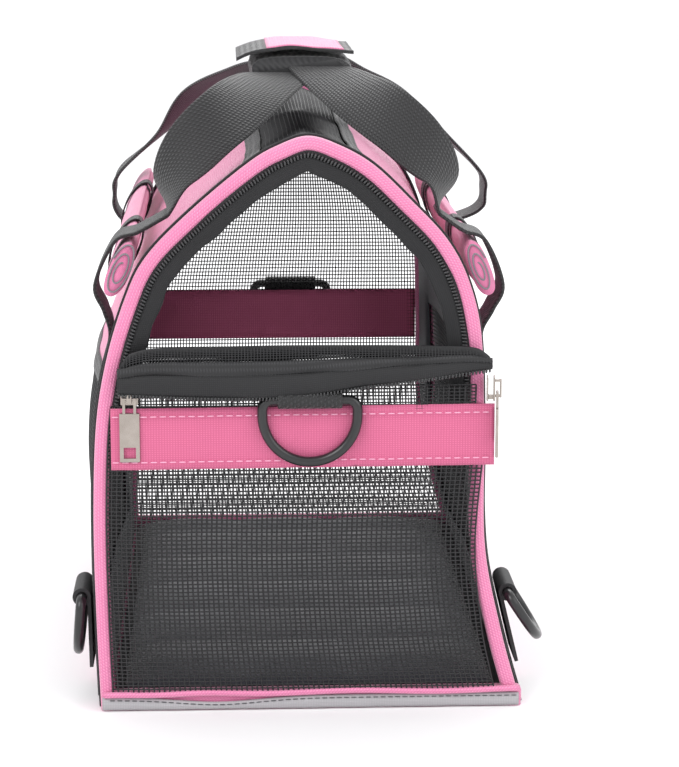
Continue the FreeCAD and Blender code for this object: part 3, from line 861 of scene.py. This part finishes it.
def make_rings():
    for node in ("front_d_ring", "rear_d_ring", "side_d_ring_left", "side_d_ring_right"):
        set_material(node, PLASTIC)
    loop = ring_band("front_ring_webbing", "front_ring_swing", Vector((0, 1, 0)), 0.003)
    place(loop, "bag", "front_ring_loop", slot="black_webbing")
    loop = ring_band("rear_ring_webbing", "rear_ring_swing", Vector((0, -1, 0)), 0.024)
    place(loop, "bag", "rear_ring_loop", slot="black_webbing")
    for node in ("side_ring_tab_left", "side_ring_tab_right"):
        set_material(node, WEBBING_SOLID)


# ---- the folded-down door flap ------------------------------------------
def flap_lines():
    """Stations across the door with the folded flap's top and bottom edge at each."""
    low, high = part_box("flap_roll")
    left, right = low.x - 0.0165, high.x + 0.0150
    xs = np.linspace(left, right, 90)
    u = (xs - left) / (right - left)
    top = high.z - 0.0015 + 0.0018 * np.sin(u * 3.1) - 0.0045 * np.exp(-(u / 0.05) ** 2)
    top -= 0.003 * np.exp(-((1 - u) / 0.04) ** 2)
    bottom = low.z - 0.0045 - 0.0035 * np.sin(math.pi * np.clip(u * 1.5, 0, 1)) \
        + 0.0145 * np.clip((u - 0.42) / 0.58, 0, 1) ** 1.6
    return xs, top, bottom, low


def flap_sheet(name, material, share0, share1, depth, swell_by, thickness, ripple=0.0):
    xs, top, bottom, low = flap_lines()
    rows = []
    for i, x in enumerate(xs):
        row = []
        for k in np.linspace(share0, share1, 9):
            z = bottom[i] + (top[i] - bottom[i]) * k
            t = (k - share0) / (share1 - share0)
            y = low.y + depth - swell_by * math.sin(math.pi * t)
            y += ripple * noise.noise(Vector((x * 34, k * 3.0, depth * 900)))
            row.append((x, y, z))
        rows.append(row)
    return grid(name, rows, material, thickness, inward=False)


# Layers of the folded flap: name, material, lower and upper share of its height, depth
# behind its front, swell, thickness and ripple.
FLAP_LAYERS = (("flap_binding", BINDING, 0.46, 0.74, 0.0026, 0.0012, 0.0012, 0.0012),
               ("flap_inner_fold", BINDING, 0.02, 0.62, 0.0068, 0.0010, 0.0012, 0.0012),
               ("flap_zip_tape", TAPE, 0.10, 0.50, 0.0016, 0.0016, 0.0010, 0.0010))


def make_flap():
    xs, top, bottom, low = flap_lines()

    def fold(share_low, front_y, back_y):
        def surface(a, b):
            x = xs[0] + (xs[-1] - xs[0]) * a
            t = float(np.interp(x, xs, top))
            base = float(np.interp(x, xs, bottom))
            start = base + (t - base) * share_low
            turn = math.pi * b
            y = (front_y + back_y) / 2 - math.cos(turn) * (back_y - front_y) / 2
            y += noise.noise(Vector((x * 24, b * 2.0, 1.0))) * 0.0016
            lift = math.sin(turn) ** 0.55
            end_pinch = min(1, a / 0.03, (1 - a) / 0.03) ** 0.5
            return (x, y, start + (t - start) * lift * end_pinch)
        return surface
    for k, (share_low, y0, y1) in enumerate(((0.50, 0.0028, 0.0085), (0.30, 0.0045, 0.0070))):
        net = lattice("flap_net_%d" % k, fold(share_low, low.y + y0, low.y + y1), 118, 24,
                      0.00040, 0.00036, NET)
        if k == 0:
            place(net, "front_flap", "flap_roll", slot="black_mesh_fold")
        else:
            place(net, "front_flap", slot="black_mesh_fold")
    for name, material, a, b, depth, out, thick, ripple in FLAP_LAYERS:
        sheet = flap_sheet(name, material, a, b, depth, out, thick, ripple)
        place(sheet, "front_flap", slot="black_mesh_fold")
    line = np.array([(x, low.y + 0.0016, b + (t - b) * 0.07)
                     for x, b, t in zip(xs, bottom, top)])
    teeth = beads("flap_zip_teeth", line, np.tile([0, -1.0, 0], (len(xs), 1)),
                  (0.0006, 0.0013, 0.0010), 0.0020, COIL, TOOTH_TURN)
    place(teeth, "front_flap", slot="zip_coil")
    make_skirt()


def make_skirt():
    low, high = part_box("flap_skirt")
    left, right = low.x - 0.010, high.x + 0.006

    def surface(u, v):
        x = left + (right - left) * u
        z = low.z - 0.001 + (high.z - low.z + 0.003) * v
        return (x, low.y - 0.0006 - 0.0022 * v, z)
    net = lattice("flap_skirt_net", surface, 64, 6, 0.0005, 0.00045, NET)
    place(net, "bag", "flap_skirt", slot="black_mesh")


# ---- covers, straps, handles --------------------------------------------
def shoulder(side):
    """Middle point, outward and up-slope directions of the shoulder under a roll."""
    share = share_at(side, ROLL_Z)
    x, z = arch(share)
    k = min(int(share * (len(ARCH_LINE) - 1)), len(ARCH_LINE) - 1)
    out = Vector((-ARCH_IN[k][0], 0, -ARCH_IN[k][1]))
    slope = Vector((-out.z * side, 0, out.x * side))
    return Vector((x, 0, z)), out, slope


def roll_rings(side):
    """Sections of a rolled cover, slack and a little uneven along its length."""
    middle, out, slope = shoulder(side)
    rings = []
    for y in np.linspace(*ROLL_ENDS, 70):
        ring = []
        slack = 1 + 0.10 * noise.noise(Vector((y * 18, side, 0)))
        for a in np.linspace(0, 2 * math.pi, 40, endpoint=False):
            r = 1 - 0.10 * (a / (2 * math.pi))
            wide = ROLL_WIDE * slack * r
            deep = ROLL_DEEP * r * (1 + 0.12 * noise.noise(Vector((y * 30, a, side))))
            c, s = math.cos(a), math.sin(a)
            point = middle + slope * (wide * math.copysign(abs(c) ** 0.8, c))
            point += out * (ROLL_LIFT + deep * math.copysign(abs(s) ** 0.9, s))
            ring.append((point.x, y, point.z))
        rings.append(ring)
    return rings


def roll_spiral(side, y):
    """Line of the cloth's wound layers, seen at a roll's front end."""
    middle, out, slope = shoulder(side)
    full = 4.4 * math.pi
    line = []
    for a in np.linspace(0, full, 90):
        r = 0.25 + 0.72 * a / full
        point = middle + slope * (ROLL_WIDE * r * math.cos(a))
        point += out * (ROLL_LIFT + 0.0064 * r * math.sin(a))
        line.append((point.x, y, point.z))
    return line


def roll_tie(side, y):
    middle, out, slope = shoulder(side)
    line = []
    for a in np.linspace(0, 2 * math.pi, 40):
        point = middle + slope * (0.0192 * math.cos(a))
        point += out * (ROLL_LIFT + 0.0080 * math.sin(a))
        line.append((point.x, y, point.z))
    across = np.tile([0.0, 1.0, 0.0], (len(line), 1))
    return sweep("tie", line, across, webbing_section(0.018, 0.0012), WEBBING, cap=False)


def make_covers():
    for side, name in SIDE_NAMES.items():
        roll = tube_grid("cover_" + name, roll_rings(side), PINK)
        place(roll, "bag", "cover_roll_" + name, slot="pink_polyester")
        spiral = [roll_spiral(side, y) for y in (-0.2072, -0.2052)]
        place(grid("cover_edge_" + name, spiral, GREY_CLOTH, 0.0009), "bag", slot="lining")
        ties = [roll_tie(side, y) for y in ROLL_TIES]
        place(join_meshes("cover_tie_" + name, ties), "bag", "cover_ties_" + name,
              slot="black_webbing")


def wall_stations(side, end, top):
    """A side strap's stations from the base up the wall to height top."""
    y = STRAP_Y * end
    stations = []
    for z in (0.004, 0.03, 0.06, 0.09, 0.12, 0.15, 0.18, 0.205, top):
        stations.append((np.array((wall_x(side, z) + side * 0.0013, y, z)),
                         np.array((0, 1.0, 0))))
    return stations


def handle_stations(side, top):
    """One carrying handle, from the front shoulder over the grip to the rear wall."""
    s = side
    level = 0.371 if s < 0 else 0.3745
    slack = 0.012 if s < 0 else 0.0
    y0, y1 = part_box("grip_wrap")[0].y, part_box("grip_wrap")[1].y
    route = [
        (top, (0, 1, 0)),
        ((s * 0.080, -0.182, 0.318), (s * 0.55, 0.75, 0.15)),
        ((s * 0.064, -0.176, 0.339), (s * 0.85, 0.35, 0.50)),
        ((s * 0.046, -0.160, 0.354), (s * 0.70, 0.30, 0.75)),
        ((s * 0.026, -0.122, 0.366), (s * 0.90, 0.25, 0.35)),
        ((s * 0.011, y0, level), (s, 0, 0)),
        ((s * 0.011, (y0 + y1) / 2, level), (s, 0, 0)),
        ((s * 0.011, y1, level), (s, 0, 0)),
        ((s * 0.030, 0.066, 0.364), (s * 0.95, -0.30, 0)),
        ((s * 0.064, 0.112, 0.346), (s * 0.55, -0.80, 0.1)),
        ((s * 0.102 - s * slack, 0.152, 0.316), (s * 0.20, -0.95, 0)),
        ((s * 0.136 - s * slack, 0.176, 0.284), (0, -1, 0)),
        ((s * 0.142 - s * slack, 0.182, 0.266), (0, -1, 0)),
        ((s * 0.136 - s * slack * 0.7, 0.184, 0.252), (0, -1, 0)),
        ((wall_x(side, 0.241) + s * 0.0030, STRAP_Y, 0.241), (0, -1, 0)),
    ]
    return [(np.array(p, float), np.array(a, float)) for p, a in route]


def make_straps():
    for side, name in SIDE_NAMES.items():
        middle, out, slope = shoulder(side)
        stations = wall_stations(side, -1, 0.226)
        for along, lift in ROLL_PASS:
            point = middle + slope * along + out * lift
            stations.append((np.array((point.x, -STRAP_Y, point.z)), np.array((0, 1.0, 0))))
        top = np.array((wall_x(side, 0.292) + side * 0.003, -STRAP_Y, 0.297))
        stations.append((top, np.array((0, 1.0, 0))))
        strap = webbing("strap_front_" + name, stations)
        place(strap, "bag", "side_strap_front_" + name, slot="black_webbing")
        rear = webbing("strap_rear_" + name, wall_stations(side, 1, 0.240))
        place(rear, "bag", "side_strap_rear_" + name, slot="black_webbing")
        handle = webbing("handle_strap_" + name, handle_stations(side, top), steps=10)
        place(handle, "bag", "handle_" + name, slot="black_webbing")


def make_grip():
    low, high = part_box("grip_wrap")
    half = (high.x - low.x) / 2
    mid = (low.z + high.z) / 2
    deep = (high.z - low.z) / 2
    rings = []
    for y in np.linspace(low.y, high.y, 40):
        t = (y - low.y) / (high.y - low.y)
        pinch = 1 - 0.06 * math.cos(math.pi * (2 * t - 1)) ** 4
        ring = []
        for a in np.linspace(0, 2 * math.pi, 44, endpoint=False):
            c, s = math.cos(a), math.sin(a)
            crease = 1 + 0.03 * noise.noise(Vector((y * 40, c * 2, s * 2)))
            ring.append((half * pinch * crease * math.copysign(abs(c) ** 0.55, c), y,
                         mid + deep * crease * 0.97 * math.copysign(abs(s) ** 0.8, s)))
        rings.append(ring)
    wrap = tube_grid("grip_sleeve", rings, BINDING)
    place(wrap, "bag", "grip_wrap", slot="black_binding")
    make_grip_flap()


def make_grip_flap():
    """Cover flap over the grip, its far edge drooping, with a patch sewn on."""
    low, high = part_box("grip_flap")
    edge = low.x - 0.004

    def crown(x, y):
        u = (high.x - x) / (high.x - edge)
        z = low.z + 0.0012 + 0.0030 * max(0.0, math.sin(math.pi * u)) ** 1.2
        return u, z + 0.0008 * noise.noise(Vector((x * 60, y * 30, 0)))
    rings = []
    for y in np.linspace(low.y, high.y, 30):
        top, bottom = [], []
        for x in np.linspace(high.x, edge, 46):
            u, z = crown(x, y)
            z -= 0.0040 * max(0, (u - 0.72) / 0.28) ** 2
            top.append((x, y, z + 0.0015))
            bottom.append((x, y, z - 0.0006))
        rings.append(top + bottom[::-1])
    flap = tube_grid("grip_cover_flap", rings, BINDING)
    place(flap, "grip_cover", "grip_flap", slot="black_binding")
    plow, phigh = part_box("grip_patch")
    rows = []
    for x in np.linspace(plow.x, phigh.x, 24):
        rows.append([(x, y, crown(x, y)[1] + 0.0022)
                     for y in np.linspace(plow.y - 0.008, phigh.y + 0.008, 24)])
    patch = grid("grip_pink_patch", rows, PINK, 0.0012, inward=False)
    place(patch, "grip_cover", "grip_patch", slot="pink_polyester")


# ---- stage --------------------------------------------------------------
# Soft lights: name, place, size and power.
LAMPS = (("key", (-1.4, -1.6, 1.9), 1.4, 26), ("fill", (1.6, -1.2, 1.3), 1.6, 12),
         ("back", (0.3, 1.8, 1.7), 1.6, 22))
LAMP_AIM = Vector((0, 0, 0.18))
CAMERA_AT = (-0.0478, -1.6763, 0.4847)
CAMERA_DOWN, CAMERA_RIGHT = math.radians(11.06), math.radians(2.57)
CAMERA_LENS, CAMERA_SENSOR = 118.5, 36


def make_stage():
    mat, _, shader = new_material("floor_white", 0.55)
    shader.inputs["Base Color"].default_value = (0.93, 0.93, 0.935, 1)
    floor = make_mesh("floor", [(-6, -6, 0), (6, -6, 0), (6, 8, 0), (-6, 8, 0)],
                      [(0, 1, 2, 3)], mat)
    world = bpy.data.worlds.new("studio")
    bpy.context.scene.world = world
    world.use_nodes = True
    world.node_tree.nodes["Background"].inputs[0].default_value = (0.97, 0.97, 0.98, 1)
    world.node_tree.nodes["Background"].inputs[1].default_value = 1.13
    for name, where, size, power in LAMPS:
        light = bpy.data.lights.new(name, "AREA")
        light.energy, light.size = power, size
        lamp = bpy.data.objects.new(name, light)
        lamp.location = where
        aim = LAMP_AIM - Vector(where)
        lamp.rotation_euler = aim.to_track_quat("-Z", "Y").to_euler()
        bpy.context.scene.collection.objects.link(lamp)
    bpy.context.scene.view_settings.view_transform = "Standard"


def make_camera():
    data = bpy.data.cameras.new("camera")
    data.sensor_width = CAMERA_SENSOR
    data.lens = CAMERA_LENS
    camera = bpy.data.objects.new("camera", data)
    camera.location = CAMERA_AT
    camera.rotation_euler = (math.pi / 2 - CAMERA_DOWN, 0, -CAMERA_RIGHT)
    bpy.context.scene.collection.objects.link(camera)
    bpy.context.scene.camera = camera


make_walls()
make_roof_net()
make_hems()
make_arch_zip()
make_base()
make_front_panel()
make_rear_panel()
make_rings()
for metal in ("slider_left", "slider_right", "puller_left", "puller_right"):
    set_material(metal, NICKEL)
make_flap()
make_covers()
make_straps()
make_grip()
make_stage()
make_camera()
